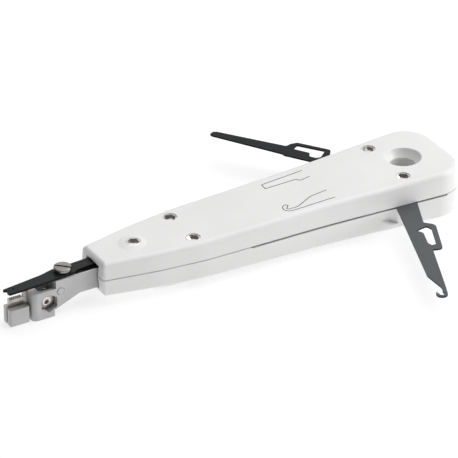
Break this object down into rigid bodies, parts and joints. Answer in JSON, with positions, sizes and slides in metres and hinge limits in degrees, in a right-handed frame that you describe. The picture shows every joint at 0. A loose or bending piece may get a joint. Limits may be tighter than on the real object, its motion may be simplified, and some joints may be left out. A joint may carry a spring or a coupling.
{
  "type": "punch down tool",
  "caption": "Hand tool that presses wires into slotted contacts and trims them, with a sprung nose, a scissor lever, a fold-out wire hook and a fold-out release blade.",
  "frame": {"origin": "on the axis of the hanging hole at the tail, in the parting plane of the two handle shells", "axes": "+X along the handle to the insertion tip, +Y to the side that carries the wire hook, +Z out of the face with the hex sockets"},
  "size_m": [0.172, 0.1335, 0.0187],
  "materials": {
    "shell_plastic": "satin",
    "black_plastic": "satin",
    "nose_zinc": "satin",
    "black_steel": "satin",
    "tool_steel": "satin",
    "bright_steel": "satin",
    "spring_steel": "satin"
  },
  "bodies": {
    "handle": {"upper_shell": "shell_plastic", "lower_shell": "shell_plastic", "shell_sleeve_nuts": "bright_steel", "pivot_sleeve_nuts": "bright_steel", "underside_screws": "bright_steel", "pivot_washers": "spring_steel", "cam_block": "black_plastic", "spring_plate": "bright_steel"},
    "nose": {"nose_body": "nose_zinc", "insertion_tip": "nose_zinc", "fixed_blade": "bright_steel", "clamp_screw": "bright_steel", "clamp_nut": "bright_steel", "cross_pin": "bright_steel", "lever_sleeve": "bright_steel", "lever_washer": "bright_steel", "lever_screw": "bright_steel", "guide_rod": "bright_steel", "retaining_clip": "spring_steel", "main_spring": "spring_steel"},
    "lever": {"cutter_lever": "black_steel", "cam_pin": "bright_steel"},
    "plunger": {"click_plunger": "bright_steel", "plunger_spring": "spring_steel"},
    "hook": {"wire_hook": "tool_steel"},
    "blade": {"release_blade": "tool_steel"}
  },
  "joints": [
    {"name": "nose_slide", "type": "slide", "parent": "handle", "child": "nose", "axis": [-1, 0, 0], "range_m": [0, 0.005], "stiffness_N_per_m": 2500, "springref_m": -0.008, "deforming": ["main_spring"]},
    {"name": "lever_pivot", "type": "hinge", "parent": "nose", "child": "lever", "pos_m": [0.1331, 0, 0.003], "axis": [0, 0, 1], "range_deg": [-8, 0]},
    {"name": "plunger_slide", "type": "slide", "parent": "handle", "child": "plunger", "axis": [0, 1, 0], "range_m": [0, 0.001], "deforming": ["plunger_spring"]},
    {"name": "hook_pivot", "type": "hinge", "parent": "handle", "child": "hook", "pos_m": [0.00715, 0.01095, -0.0005], "axis": [0, 0, 1], "range_deg": [-70, 50]},
    {"name": "blade_pivot", "type": "hinge", "parent": "handle", "child": "blade", "pos_m": [0.00715, -0.01095, -0.0005], "axis": [0, 0, -1], "range_deg": [-54, 60]}
  ],
  "couplings": [
    {"joint": "lever_pivot", "follows": "nose_slide", "rad_per_m": -27.925},
    {"joint": "plunger_slide", "follows": "nose_slide", "ratio": 0.2}
  ]
}
